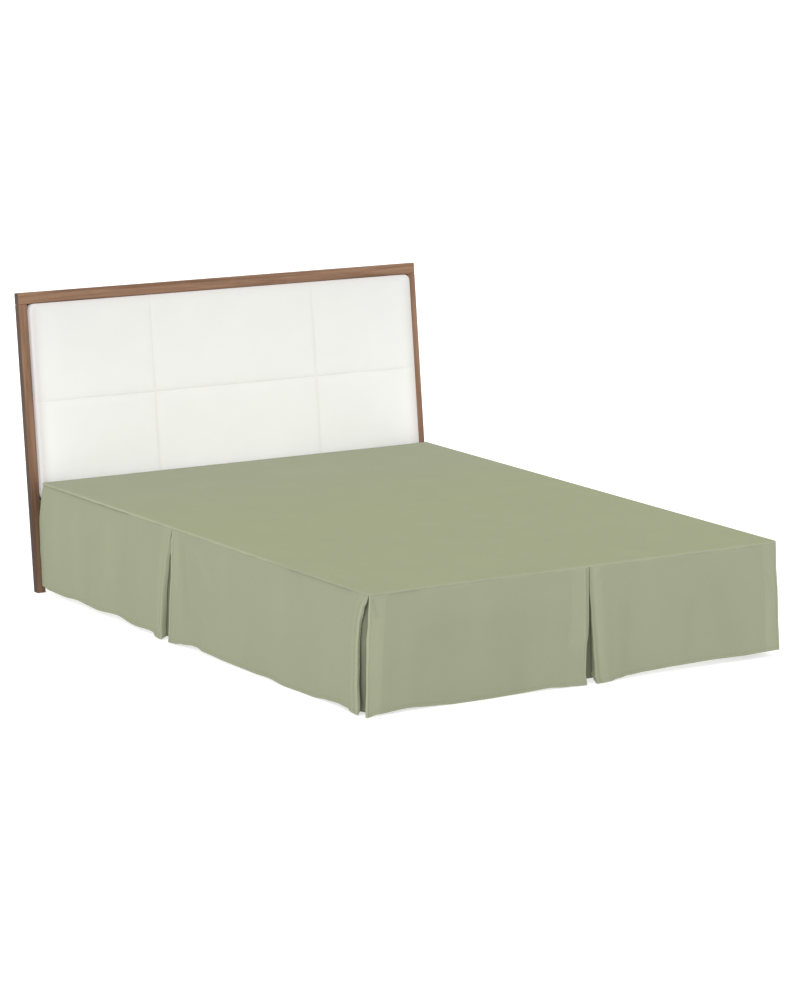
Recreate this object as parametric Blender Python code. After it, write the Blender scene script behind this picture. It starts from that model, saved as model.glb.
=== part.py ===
"""A pleated bed skirt on a plain box bed with a leaning upholstered headboard.

X runs across the bed, the foot of the bed faces -Y, and Z is up. The origin is on the floor,
under the middle of the bed, on the bottom of the centre foot. Lengths are in metres.
"""

import math

import bmesh
import bpy
from mathutils import Vector

# Driving dimensions of the bed, a queen size of 158 by 198 cm
BED_WIDTH = 1.580
BED_LENGTH = 1.980
DECK_HEIGHT = 0.381
HALF_WIDTH = BED_WIDTH / 2
HALF_LENGTH = BED_LENGTH / 2

# Cloth and the gap that touching pieces keep
CLOTH = 0.002
TOUCH = 0.0003
SEAM_GAP = 0.0004
EDGE_CLEARANCE = 0.002

# Deck cloth: it rolls over the edge of the base and ends in a seam a little below it
DECK_LIP = 0.007
DECK_ROLL = 0.004
DECK_CORNER = 0.012
DECK_SPANS = 9
ARC_STEPS = 4

# Layers outside the base, each given as the depth of its middle behind the deck's outer edge
DROP_DEPTH = 0.0015
UNDERLAY_DEPTH = 0.0068
SEWN_DEPTH = DROP_DEPTH + CLOTH + TOUCH
RETURN_DEPTH_LIMIT = 0.0043
BASE_INSET = UNDERLAY_DEPTH + CLOTH / 2 + EDGE_CLEARANCE

# Pleats: the folded edges turn in. A flat return lies behind its face, and an open one slopes
# into its pleat, as long as the pleat has room there.
SIDE_PLEAT_Y = 0.147
FOOT_PLEAT_X = 0.039
RETURN_FLAT = 0.015
RETURN_OPEN = {"side pleat open": 0.017, "foot pleat open": 0.020, "corner open": 0.007}
RETURN_SHORTEST = 0.001
RETURN_ROOM = 0.004
RETURN_LIFT = 0.010
FOLD_RADIUS_TOP = 0.0014
FOLD_RADIUS_HEM = 0.0036
OPEN_FOLD = math.radians(95)
FLAT_FOLD = math.radians(180)
FOLD_STEPS = 4
LEVELS = (0.0, 0.05, 0.12, 0.25, 0.42, 0.60, 0.78, 0.92, 1.0)
COLUMN_GAP = 45

# Underlays: plain strips that hang behind the pleats and round the corners of the base
UNDERLAY_WIDTH = 0.160
UNDERLAY_LEVELS = (0.0, 0.1, 0.4, 0.7, 1.0)
UNDERLAY_COLUMNS = (-0.5, -0.2, 0.2, 0.5)
UNDERLAY_SIDE_LIFT = 0.012
UNDERLAY_FOOT_LIFT = 0.016
UNDERLAY_NEAR_LIFT = 0.007
UNDERLAY_FAR_LIFT = 0.027
UNDERLAY_CORNER_STEPS = 6

# Box base and its feet
BASE_CLEARANCE = 0.105
BASE_CORNER = 0.045
BASE_EDGE = 0.006
BASE_CORNER_STEPS = 6
BASE_HEAD_Y = HALF_LENGTH - 0.010
FOOT_RADIUS = 0.030
FOOT_INSET = 0.120
FOOT_SIDES = 20

# Headboard, measured up its own slope from the floor
LEAN = math.radians(7.9)
HEADBOARD_Y = 0.985
HEADBOARD_WIDTH = 1.622
HEADBOARD_TOP = 1.0206
POST_WIDTH = 0.032
FRAME_DEPTH = 0.026
TOP_RAIL_HEIGHT = 0.039
LOW_RAIL_BOTTOM = 0.250
LOW_RAIL_HEIGHT = 0.065
BOARD_THICKNESS = 0.0066
WOOD_EDGE = 0.0015
SPACER_WIDTH = 0.060
SPACER_X = 0.450
SPACER_BOTTOM = 0.262
SPACER_TOP = 0.302

# Upholstered pad in the headboard's frame
PAD_GAP = 0.0008
PAD_CORNER = 0.022
PAD_EDGE_RISE = 0.0110
PAD_SHOULDER = 0.018
PAD_CROWN = 0.0190
PAD_CHANNEL = 0.0055
PAD_CHANNEL_WIDTH = 0.014
PAD_EDGE_STEPS = (0.003, 0.009)
PAD_CHANNEL_STEPS = (-1, -0.4, 0, 0.4, 1, 2)
PAD_ROW_STEP = 0.075
PAD_COLUMN_STEP = 0.090
PAD_SEAM_FRACTIONS = (0.303, 0.728)
PAD_SEAM_HEIGHT = 0.647

# One row for each section of a drop, from its left end as seen from outside.
# Millimetres: along the hem, how far the hem stands out, and how high it hangs off the floor.
LEFT_HEAD_HEM = (
    (0, 4, 26),
    (55, 6, 19),
    (170, 9, 18),
    (250, 6, 22),
    (330, 8, 18),
    (390, 9, 16),
    (520, 5, 22),
    (640, 9, 12),
    (752, 12, 17),
    (774, 13, 15),
    (786, 14, 4),
    (821, 14, 2),
)
LEFT_FOOT_HEM = (
    (0, 14, 2),
    (30, 13, 4),
    (73, 10, 10),
    (140, 6, 17),
    (163, 6, 17),
    (200, 7, 11),
    (330, 9, 8),
    (500, 6, 5),
    (585, 7, 8),
    (690, 10, 2),
    (840, 8, 3),
    (920, 9, 10),
    (980, 11, 14),
    (1045, 15, 13),
    (1057, 16, 6),
    (1095, 17, 3),
)
FOOT_LEFT_HEM = (
    (0, 20, 3),
    (40, 15, 7),
    (157, 8, 11),
    (267, 6, 5),
    (330, 7, 2),
    (440, 8, 2),
    (570, 6, 3),
    (690, 9, 8),
    (760, 13, 4),
    (832, 18, 2),
)
FOOT_RIGHT_HEM = (
    (0, 20, 2),
    (45, 18, 3),
    (85, 14, 8),
    (125, 10, 12),
    (200, 7, 15),
    (320, 6, 18),
    (470, 8, 21),
    (600, 9, 19),
    (670, 12, 22),
    (737, 15, 24),
)
RIGHT_FOOT_HEM = (
    (0, 15, 22),
    (60, 11, 14),
    (250, 7, 10),
    (450, 9, 14),
    (650, 6, 11),
    (850, 8, 8),
    (1000, 12, 9),
    (1089, 16, 3),
)
RIGHT_HEAD_HEM = (
    (0, 16, 3),
    (60, 12, 9),
    (220, 7, 12),
    (420, 9, 9),
    (620, 6, 15),
    (780, 7, 19),
    (833, 5, 24),
)

# One row for each height of a drop's end: the share of the drop above it, and how many
# millimetres the end stands back from its pleat, its corner or the head of the bed there. Less
# than zero is past it.
HEAD_END = ((0.0, 3), (0.12, -8), (0.36, -19), (0.62, -13), (0.85, 0), (1.0, 6))
SIDE_PLEAT_WIDE = ((0.0, 1.4), (0.15, 18), (0.30, 32), (0.60, 43), (0.90, 43), (1.0, 39))
SIDE_PLEAT_NARROW = ((0.0, 1.4), (0.20, 2), (0.40, 7), (0.60, 3), (1.0, 5))
FOOT_PLEAT_LEFT = ((0.0, 1.4), (0.44, 1.4), (0.56, 4), (0.66, 12), (0.90, 15), (1.0, 10))
FOOT_PLEAT_RIGHT = ((0.0, 1.4), (0.18, 2), (0.41, 8), (0.68, 15), (0.90, 21), (1.0, 28))
NEAR_CORNER_SIDE = ((0.0, 6), (0.05, 16), (0.12, 29), (0.26, 40), (0.40, 42), (0.72, 36), (1.0, 24))
NEAR_CORNER_FOOT = ((0.0, 6), (0.20, 2), (0.40, -3), (0.70, -7), (1.0, -12))
FAR_CORNER_FOOT = ((0.0, 6), (0.20, 4), (0.44, -5), (0.70, -7), (1.0, -12))
FAR_CORNER_SIDE = ((0.0, 6), (0.25, 12), (0.60, 18), (1.0, 16))

MILLIMETRE = 0.001


def clear_scene():
    for old in list(bpy.data.objects):
        bpy.data.objects.remove(old, do_unlink=True)


def material(name, colour, roughness, metallic=0.0):
    made = bpy.data.materials.new(name)
    made.use_nodes = True
    shader = made.node_tree.nodes["Principled BSDF"]
    shader.inputs["Base Color"].default_value = (*colour, 1.0)
    shader.inputs["Roughness"].default_value = roughness
    shader.inputs["Metallic"].default_value = metallic
    return made


def empty(name, location, rotation=(0.0, 0.0, 0.0)):
    made = bpy.data.objects.new(name, None)
    made.location = location
    made.rotation_euler = rotation
    bpy.context.scene.collection.objects.link(made)
    return made


def add_object(name, bm, look, parent=None, location=(0.0, 0.0, 0.0)):
    bmesh.ops.recalc_face_normals(bm, faces=bm.faces)
    mesh = bpy.data.meshes.new(name)
    bm.to_mesh(mesh)
    bm.free()
    mesh.materials.append(look)
    made = bpy.data.objects.new(name, mesh)
    made.parent = parent
    made.location = location
    bpy.context.scene.collection.objects.link(made)
    return made


def block_mesh(size):
    bm = bmesh.new()
    bmesh.ops.create_cube(bm, size=1.0)
    bmesh.ops.scale(bm, vec=Vector(size), verts=bm.verts)
    return bm


def round_edges(target, width, segments=2, limit=math.radians(50)):
    bevel = target.modifiers.new("Rounded edges", "BEVEL")
    bevel.width = width
    bevel.segments = segments
    bevel.limit_method = "ANGLE"
    bevel.angle_limit = limit


def thicken(target):
    """Gives a sheet's middle surface the cloth's thickness, half to each side."""
    solid = target.modifiers.new("Cloth thickness", "SOLIDIFY")
    solid.thickness = CLOTH
    solid.offset = 0.0
    solid.use_even_offset = True
    solid.use_quality_normals = True


def sheet_mesh(rows):
    """A grid of faces through rows of points, each row as long as the next."""
    bm = bmesh.new()
    grid = [[bm.verts.new(point) for point in row] for row in rows]
    for upper, lower in zip(grid, grid[1:]):
        for k in range(len(upper) - 1):
            bm.faces.new((upper[k], upper[k + 1], lower[k + 1], lower[k]))
    return bm, grid


def eased(table, at, column):
    """Reads a column of a table at a place in its first column, easing from row to row."""
    if at <= table[0][0]:
        return table[0][column]
    for low, high in zip(table, table[1:]):
        if at <= high[0]:
            share = (at - low[0]) / (high[0] - low[0])
            share = share * share * (3 - 2 * share)
            return low[column] + (high[column] - low[column]) * share
    return table[-1][column]


def hem_stations(table):
    """The places along a hem that get a column of points: its rows, and even steps in wide gaps."""
    places = [table[0][0]]
    for row in table[1:]:
        start = places[-1]
        count = math.ceil((row[0] - start) / COLUMN_GAP)
        places += [start + (row[0] - start) * k / count for k in range(1, count + 1)]
    return places


def corner_fall(distance):
    """How far the seam falls back at a given distance from the deck's rounded corner."""
    past = DECK_CORNER - min(max(distance, 0.0), DECK_CORNER)
    return DECK_CORNER - math.sqrt(DECK_CORNER**2 - past**2)


def fold_depth(angle, radius, length):
    """How deep a return ends behind the face when it turns through an angle."""
    return radius * (1 - math.cos(angle)) + length * math.sin(angle)


def fold_angle(room, radius, length, least, most):
    """The angle from least to most at which a return's end comes as deep as its room allows."""
    for _ in range(24):
        angle = (least + most) / 2
        if (fold_depth(angle, radius, length) > room) == (most > OPEN_FOLD):
            least = angle
        else:
            most = angle
    return (least + most) / 2


def fold_points(edge, out, away, radius, angle, length):
    """Plan points of a folded edge and the return behind it, each with its share of the return.

    edge is where the fold is, away is 1 at a right end and -1 at a left one.
    """
    points = []
    for step in range(1, FOLD_STEPS + 1):
        turn = angle * step / FOLD_STEPS
        along = edge - away * radius * (1 - math.sin(turn))
        points.append((along, out - radius * (1 - math.cos(turn)), 0.0))
    along, depth, _ = points[-1]
    for share in (0.5, 1.0):
        run = length * share
        place = (along + away * run * math.cos(angle), depth - run * math.sin(angle), share)
        points.append(place)
    return points


class Drop:
    """One hanging panel of the skirt, with the ends and the hem that its tables give."""

    def __init__(self, start, end, hem, left_end, right_end, left_kind, right_kind):
        self.start = start
        self.end = end
        self.hem = hem
        self.ends = (left_end, right_end)
        self.kinds = (left_kind, right_kind)
        self.stations = hem_stations(hem)

    def out(self, station, down, from_left, from_right):
        """How far the middle of the cloth stands outside the deck's edge."""
        out = -DROP_DEPTH + eased(self.hem, station, 1) * MILLIMETRE * down
        settle = (1 - down) ** 2
        if self.kinds[0].startswith("corner"):
            out -= corner_fall(from_left) * settle
        if self.kinds[1].startswith("corner"):
            out -= corner_fall(from_right) * settle
        return out

    def fold(self, side, at, out, down, radius):
        """The fold and the return of one end at one share of the drop."""
        room = out + RETURN_DEPTH_LIMIT
        length = RETURN_FLAT
        if self.kinds[side].endswith("open"):
            back = eased(self.ends[side], down, 1) * MILLIMETRE
            length = min(max(back - RETURN_ROOM, RETURN_SHORTEST), RETURN_OPEN[self.kinds[side]])
            angle = fold_angle(room, radius, length, 0.0, OPEN_FOLD)
        elif self.kinds[side].endswith("tucked"):
            angle = FLAT_FOLD
        else:
            angle = fold_angle(room, radius, length, OPEN_FOLD, FLAT_FOLD)
        return fold_points(at, out, (-1, 1)[side], radius, angle, length)

    def row(self, down):
        """The panel's points at one share of the drop, in its side's own frame."""
        left = self.start + eased(self.ends[0], down, 1) * MILLIMETRE
        right = self.end - eased(self.ends[1], down, 1) * MILLIMETRE
        radius = FOLD_RADIUS_TOP + (FOLD_RADIUS_HEM - FOLD_RADIUS_TOP) * down
        folds = [kind != "head" for kind in self.kinds]
        first = left + radius * folds[0]
        last = right - radius * folds[1]
        top = DECK_HEIGHT - DECK_LIP - SEAM_GAP
        plan = []
        for station in self.stations:
            along = first + (last - first) * station / self.hem[-1][0]
            out = self.out(station, down, along - self.start, self.end - along)
            lift = eased(self.hem, station, 2) * MILLIMETRE
            plan.append((along, out, top + (lift - top) * down))
        for side, at in ((0, left), (1, right)):
            if folds[side]:
                station = plan[0] if side == 0 else plan[-1]
                turned = [
                    (along, out, station[2] + RETURN_LIFT * down * share)
                    for along, out, share in self.fold(side, at, station[1], down, radius)
                ]
                plan = turned[::-1] + plan if side == 0 else plan + turned
        return [(along, -out, height) for along, out, height in plan]


def build_drop(name, side, look, drop):
    bm, _ = sheet_mesh([drop.row(down) for down in LEVELS])
    thicken(add_object(name, bm, look, side))


def deck_path():
    """Points of the deck's edge round its three hemmed sides, each with its outward direction."""
    path = []
    inner_x = HALF_WIDTH - DECK_CORNER
    inner_y = HALF_LENGTH - DECK_CORNER
    step = (HALF_LENGTH + inner_y) / DECK_SPANS
    for k in range(DECK_SPANS):
        path.append(((-HALF_WIDTH, HALF_LENGTH - step * k), (-1, 0)))
    for centre_x, first_angle in ((-inner_x, math.pi), (inner_x, 1.5 * math.pi)):
        for k in range(ARC_STEPS + 1):
            angle = first_angle + math.pi / 2 * k / ARC_STEPS
            way = (math.cos(angle), math.sin(angle))
            place = (centre_x + DECK_CORNER * way[0], -inner_y + DECK_CORNER * way[1])
            path.append((place, way))
    for k in range(1, DECK_SPANS + 1):
        path.append(((HALF_WIDTH, -inner_y + step * k), (1, 0)))
    return path


def build_deck(look):
    """The flat deck cloth with its edge rolled down over the base on three sides."""
    radius = DECK_ROLL + CLOTH / 2
    profile = [(0.0, DECK_HEIGHT - DECK_LIP)]
    for k in range(ARC_STEPS + 1):
        angle = math.pi / 2 * k / ARC_STEPS
        in_by = radius * (1 - math.cos(angle))
        profile.append((in_by, DECK_HEIGHT - CLOTH / 2 - radius * (1 - math.sin(angle))))
    rows = []
    for in_by, height in profile:
        inset = CLOTH / 2 + in_by
        rows.append([(x - inset * a, y - inset * b, height) for (x, y), (a, b) in deck_path()])
    bm, grid = sheet_mesh(rows)
    bm.faces.new(grid[-1])
    thicken(add_object("deck", bm, look))


def build_flat_underlay(name, side, look, centre, hem_lift):
    """The strip that hangs straight behind a pleat in the middle of a side."""
    top = DECK_HEIGHT - DECK_LIP - SEAM_GAP
    rows = []
    for down in UNDERLAY_LEVELS:
        height = top + (hem_lift - top) * down
        row = []
        for share in UNDERLAY_COLUMNS:
            row.append((centre + UNDERLAY_WIDTH * share, UNDERLAY_DEPTH, height))
        rows.append(row)
    bm, _ = sheet_mesh(rows)
    thicken(add_object(name, bm, look, side))


def corner_plan(depth):
    """Plan points of a strip round the base's corner, at a depth behind the deck's edge."""
    centre = UNDERLAY_DEPTH + CLOTH / 2 + EDGE_CLEARANCE + BASE_CORNER
    centre_x = HALF_WIDTH - centre
    centre_y = HALF_LENGTH - centre
    radius = centre - depth
    straight = UNDERLAY_WIDTH / 2
    plan = [(centre_x + radius, -centre_y + straight)]
    for k in range(UNDERLAY_CORNER_STEPS + 1):
        angle = -math.pi / 2 * k / UNDERLAY_CORNER_STEPS
        plan.append((centre_x + radius * math.cos(angle), -centre_y + radius * math.sin(angle)))
    plan.append((centre_x - straight, -centre_y - radius))
    return plan


def build_corner_underlay(name, hand, look, hem_lift):
    """The strip that is sewn behind two drops and wraps the base's corner between them."""
    top = DECK_HEIGHT - DECK_LIP - SEAM_GAP
    rows = []
    for down in UNDERLAY_LEVELS:
        height = top + (hem_lift - top) * down
        depth = SEWN_DEPTH if down == 0.0 else UNDERLAY_DEPTH
        rows.append([(hand * x, y, height) for x, y in corner_plan(depth)])
    bm, _ = sheet_mesh(rows)
    thicken(add_object(name, bm, look))


def build_skirt(look):
    left_side = empty("left_side", (-HALF_WIDTH, HALF_LENGTH, 0), (0, 0, -math.pi / 2))
    foot_side = empty("foot_side", (-HALF_WIDTH, -HALF_LENGTH, 0))
    right_side = empty("right_side", (HALF_WIDTH, -HALF_LENGTH, 0), (0, 0, math.pi / 2))
    left_pleat = HALF_LENGTH - SIDE_PLEAT_Y
    foot_pleat = HALF_WIDTH + FOOT_PLEAT_X
    right_pleat = HALF_LENGTH + SIDE_PLEAT_Y
    build_deck(look)
    drops = (
        ("drop_left_head", left_side, 0.0, left_pleat, LEFT_HEAD_HEM,
         HEAD_END, SIDE_PLEAT_WIDE, "head", "side pleat open"),
        ("drop_left_foot", left_side, left_pleat, BED_LENGTH, LEFT_FOOT_HEM,
         SIDE_PLEAT_NARROW, NEAR_CORNER_SIDE, "pleat", "corner open"),
        ("drop_foot_left", foot_side, 0.0, foot_pleat, FOOT_LEFT_HEM,
         NEAR_CORNER_FOOT, FOOT_PLEAT_LEFT, "corner tucked", "pleat"),
        ("drop_foot_right", foot_side, foot_pleat, BED_WIDTH, FOOT_RIGHT_HEM,
         FOOT_PLEAT_RIGHT, FAR_CORNER_FOOT, "foot pleat open", "corner tucked"),
        ("drop_right_foot", right_side, 0.0, right_pleat, RIGHT_FOOT_HEM,
         FAR_CORNER_SIDE, SIDE_PLEAT_NARROW, "corner open", "pleat"),
        ("drop_right_head", right_side, right_pleat, BED_LENGTH, RIGHT_HEAD_HEM,
         SIDE_PLEAT_WIDE, HEAD_END, "side pleat open", "head"),
    )
    for name, side, start, end, hem, left_end, right_end, left_kind, right_kind in drops:
        drop = Drop(start, end, hem, left_end, right_end, left_kind, right_kind)
        build_drop(name, side, look, drop)
    build_flat_underlay("underlay_left", left_side, look, left_pleat, UNDERLAY_SIDE_LIFT)
    build_flat_underlay("underlay_foot", foot_side, look, foot_pleat, UNDERLAY_FOOT_LIFT)
    build_flat_underlay("underlay_right", right_side, look, right_pleat, UNDERLAY_SIDE_LIFT)
    build_corner_underlay("underlay_near_corner", -1, look, UNDERLAY_NEAR_LIFT)
    build_corner_underlay("underlay_far_corner", 1, look, UNDERLAY_FAR_LIFT)


def build_base(look):
    """The plain box base, with rounded upright corners."""
    top = DECK_HEIGHT - CLOTH - TOUCH
    front = -HALF_LENGTH + BASE_INSET
    size = (BED_WIDTH - 2 * BASE_INSET, BASE_HEAD_Y - front, top - BASE_CLEARANCE)
    bm = block_mesh(size)
    upright = [edge for edge in bm.edges if edge.verts[0].co.xy == edge.verts[1].co.xy]
    bmesh.ops.bevel(
        bm, geom=upright, offset=BASE_CORNER, segments=BASE_CORNER_STEPS, profile=0.5, affect="EDGES"
    )
    centre = (0.0, (BASE_HEAD_Y + front) / 2, (top + BASE_CLEARANCE) / 2)
    round_edges(add_object("box_base", bm, look, None, centre), BASE_EDGE, 3)


def build_feet(look):
    x = HALF_WIDTH - FOOT_INSET
    y = HALF_LENGTH - FOOT_INSET
    height = BASE_CLEARANCE - TOUCH
    places = (
        ("foot_centre", 0.0, 0.0),
        ("foot_near_left", -x, -y),
        ("foot_near_right", x, -y),
        ("foot_head_left", -x, y),
        ("foot_head_right", x, y),
    )
    for name, across, along in places:
        bm = bmesh.new()
        bmesh.ops.create_cone(
            bm, cap_ends=True, segments=FOOT_SIDES, radius1=FOOT_RADIUS, radius2=FOOT_RADIUS, depth=height
        )
        foot = add_object(name, bm, look, None, (across, along, height / 2))
        foot.data.shade_smooth()
        foot.data.set_sharp_from_angle(angle=math.radians(40))


def build_posts(frame, look):
    """The two side posts, square to the slope on top and cut level on the floor."""
    top = HEADBOARD_TOP - TOP_RAIL_HEIGHT - TOUCH
    for name, hand in (("post_left", -1), ("post_right", 1)):
        bm = block_mesh((POST_WIDTH, FRAME_DEPTH, top))
        for vert in bm.verts:
            if vert.co.z < 0:
                vert.co.z += (vert.co.y + FRAME_DEPTH / 2) * math.tan(LEAN)
        place = (hand * (HEADBOARD_WIDTH - POST_WIDTH) / 2, FRAME_DEPTH / 2, top / 2)
        round_edges(add_object(name, bm, look, frame, place), WOOD_EDGE, 1)


def build_rails_and_board(frame, look):
    inner = HEADBOARD_WIDTH - 2 * POST_WIDTH - 2 * TOUCH
    board_bottom = LOW_RAIL_BOTTOM + LOW_RAIL_HEIGHT + TOUCH
    board_top = HEADBOARD_TOP - TOP_RAIL_HEIGHT - TOUCH
    pieces = (
        ("top_rail", HEADBOARD_WIDTH, FRAME_DEPTH, board_top + TOUCH, HEADBOARD_TOP, WOOD_EDGE),
        ("low_rail", inner, FRAME_DEPTH, LOW_RAIL_BOTTOM, board_bottom - TOUCH, WOOD_EDGE),
        ("back_board", inner, BOARD_THICKNESS, board_bottom, board_top, WOOD_EDGE / 3),
    )
    for name, width, depth, bottom, top, edge in pieces:
        bm = block_mesh((width, depth, top - bottom))
        place = (0.0, FRAME_DEPTH - depth / 2, (bottom + top) / 2)
        round_edges(add_object(name, bm, look, frame, place), edge, 1)


def build_spacers(look):
    """The two plain blocks that tie the headboard's lower rail to the base."""
    front = BASE_HEAD_Y + TOUCH
    for name, hand in (("spacer_left", -1), ("spacer_right", 1)):
        bm = block_mesh((SPACER_WIDTH, 1.0, SPACER_TOP - SPACER_BOTTOM))
        middle = (SPACER_TOP + SPACER_BOTTOM) / 2
        for vert in bm.verts:
            rail = HEADBOARD_Y + (middle + vert.co.z) * math.tan(LEAN) - TOUCH / math.cos(LEAN)
            vert.co.y = front if vert.co.y < 0 else rail
        add_object(name, bm, look, None, (hand * SPACER_X, 0.0, middle))


def pad_height(x, z, width, bottom, top):
    """How far the pad's face stands forward at a point of its face."""
    border = min(x + width / 2, width / 2 - x, z - bottom, top - z)
    share = min(border / PAD_SHOULDER, 1.0)
    swell = 1 - (1 - share) ** 2
    seams_x = [-width / 2 + width * fraction for fraction in PAD_SEAM_FRACTIONS]
    nearest = min([abs(x - seam) for seam in seams_x] + [abs(z - PAD_SEAM_HEIGHT)])
    channel = math.exp(-((nearest / PAD_CHANNEL_WIDTH) ** 2))
    return PAD_CROWN * swell - PAD_CHANNEL * channel * swell + PAD_EDGE_RISE * (1 - swell)


def pad_stations(low, high, seams, step):
    """Places across the pad: close together at its borders and seams, wide apart between."""
    places = [low] + [low + edge for edge in PAD_EDGE_STEPS] + [low + PAD_SHOULDER]
    for seam in list(seams) + [high]:
        stop = seam - (PAD_SHOULDER if seam == high else 2 * PAD_CHANNEL_WIDTH)
        start = places[-1]
        count = max(1, round((stop - start) / step))
        places += [start + (stop - start) * k / count for k in range(1, count + 1)]
        if seam == high:
            places += [high - edge for edge in reversed(PAD_EDGE_STEPS)] + [high]
        else:
            places += [seam + PAD_CHANNEL_WIDTH * k for k in PAD_CHANNEL_STEPS]
    return places


def round_pad_corner(x, z, width, bottom, top):
    """Draws a point near a corner of the pad in, so that the corner becomes a quarter circle."""
    corner_x = math.copysign(width / 2 - PAD_CORNER, x)
    corner_z = top - PAD_CORNER if z > (top + bottom) / 2 else bottom + PAD_CORNER
    a = x - corner_x
    b = z - corner_z
    if a * x <= 0 or b * (corner_z - (top + bottom) / 2) <= 0:
        return x, z
    reach = max(abs(a), abs(b)) / math.hypot(a, b)
    return corner_x + a * reach, corner_z + b * reach


def build_pad(frame, look):
    """The upholstered pad: one filled solid with a crown, a flat back and sewn channels."""
    width = HEADBOARD_WIDTH - 2 * POST_WIDTH - 2 * PAD_GAP
    bottom = LOW_RAIL_BOTTOM + LOW_RAIL_HEIGHT + PAD_GAP
    top = HEADBOARD_TOP - TOP_RAIL_HEIGHT - PAD_GAP
    back = FRAME_DEPTH - BOARD_THICKNESS - TOUCH
    seams_x = [-width / 2 + width * fraction for fraction in PAD_SEAM_FRACTIONS]
    rows = []
    for z in pad_stations(bottom, top, [PAD_SEAM_HEIGHT], PAD_ROW_STEP):
        row = []
        for x in pad_stations(-width / 2, width / 2, seams_x, PAD_COLUMN_STEP):
            forward = pad_height(x, z, width, bottom, top)
            around_x, around_z = round_pad_corner(x, z, width, bottom, top)
            row.append((around_x, -forward, around_z))
        rows.append(row)
    bm, grid = sheet_mesh(rows)
    rim = grid[0] + [row[-1] for row in grid[1:-1]]
    rim += grid[-1][::-1] + [row[0] for row in grid[-2:0:-1]]
    behind = [bm.verts.new((vert.co.x, back, vert.co.z)) for vert in rim]
    for k in range(len(rim)):
        bm.faces.new((rim[k - 1], rim[k], behind[k], behind[k - 1]))
    bm.faces.new(behind)
    add_object("pad", bm, look, frame)


def build_headboard(wood, fabric):
    frame = empty("headboard", (0.0, HEADBOARD_Y, 0.0), (-LEAN, 0.0, 0.0))
    build_posts(frame, wood)
    build_rails_and_board(frame, wood)
    build_pad(frame, fabric)
    build_spacers(wood)


clear_scene()
build_skirt(material("skirt cloth", (0.36, 0.39, 0.25), 0.9))
build_base(material("base cover", (0.62, 0.61, 0.58), 0.85))
build_feet(material("foot plastic", (0.03, 0.03, 0.03), 0.5))
build_headboard(
    material("walnut brown wood", (0.30, 0.17, 0.11), 0.55),
    material("white upholstery", (0.87, 0.87, 0.85), 0.7),
)
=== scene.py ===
import math
from collections import namedtuple

import bmesh
import bpy
from mathutils import Matrix, Vector, noise


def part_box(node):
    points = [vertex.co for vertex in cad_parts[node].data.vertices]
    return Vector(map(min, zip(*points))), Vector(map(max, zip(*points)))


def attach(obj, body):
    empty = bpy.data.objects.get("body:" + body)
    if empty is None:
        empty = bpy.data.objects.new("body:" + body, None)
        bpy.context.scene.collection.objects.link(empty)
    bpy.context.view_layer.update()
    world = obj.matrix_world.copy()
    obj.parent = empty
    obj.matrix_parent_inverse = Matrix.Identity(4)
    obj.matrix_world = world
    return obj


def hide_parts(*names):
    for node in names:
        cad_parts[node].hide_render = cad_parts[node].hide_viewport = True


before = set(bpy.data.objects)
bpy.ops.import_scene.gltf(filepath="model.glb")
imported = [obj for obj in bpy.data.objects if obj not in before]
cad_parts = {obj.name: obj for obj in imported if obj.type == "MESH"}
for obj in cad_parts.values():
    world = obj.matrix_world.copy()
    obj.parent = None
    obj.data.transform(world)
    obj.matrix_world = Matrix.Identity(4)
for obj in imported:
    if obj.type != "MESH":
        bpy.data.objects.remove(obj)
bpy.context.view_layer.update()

# Box base: the plain queen size bed box that the skirt hangs on, covered in pale grey cloth.
# The cover is pulled tight over a hard frame, and a round piping closes its top and bottom
# edges all the way round.

base_low, base_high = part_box("box_base")
BASE_CORNER = 0.045
BASE_CORNER_STEPS = 8
PIPING = 0.0045
COVER_WALL = PIPING * 0.55
COVER_EDGE = 0.010
COVER_INSIDE = 0.030
COVER_DIP = 0.0006
COVER_CLEAR = 0.0002
BASE_GREY = (0.56, 0.55, 0.52, 1.0)


def new_finish(name, roughness):
    """A node material with its plain values on the shader's own sockets."""
    made = bpy.data.materials.new(name)
    made.use_nodes = True
    shader = made.node_tree.nodes["Principled BSDF"]
    shader.inputs["Roughness"].default_value = roughness
    return made, made.node_tree, shader


def add_node(tree, kind, values=None, **settings):
    made = tree.nodes.new(kind)
    for name, setting in settings.items():
        setattr(made, name, setting)
    for name, value in (values or {}).items():
        made.inputs[name].default_value = value
    return made


def graded(tree, source, low, high, at_low, at_high):
    """A value that goes from at_low to at_high as its source goes from low to high."""
    made = add_node(tree, "ShaderNodeMapRange", {"From Min": low, "From Max": high,
                                                 "To Min": at_low, "To Max": at_high})
    tree.links.new(source, made.inputs["Value"])
    return made.outputs["Result"]


def scaled(tree, colour, factor):
    """A colour made lighter or darker by a factor."""
    made = add_node(tree, "ShaderNodeVectorMath", operation="SCALE")
    if isinstance(colour, tuple):
        made.inputs[0].default_value = colour[:3]
    else:
        tree.links.new(colour, made.inputs[0])
    tree.links.new(factor, made.inputs["Scale"])
    return made.outputs["Vector"]


def toned(tree, colour, source, amount):
    """A colour, a little darker and lighter by a grey source between 0 and 1."""
    return scaled(tree, colour, graded(tree, source, 0.25, 0.75, 1 - amount, 1 + amount))


def speckled(tree, place, scale, detail, **more):
    """Soft chance speckles between 0 and 1, smaller for a larger scale."""
    made = add_node(tree, "ShaderNodeTexNoise", {"Scale": scale, "Detail": detail, **more})
    tree.links.new(place, made.inputs["Vector"])
    return made.outputs["Fac"]


def larger_of(tree, sources):
    made = add_node(tree, "ShaderNodeMath", operation="MAXIMUM")
    for number, source in enumerate(sources):
        tree.links.new(source, made.inputs[number])
    return made.outputs[0]


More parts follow.
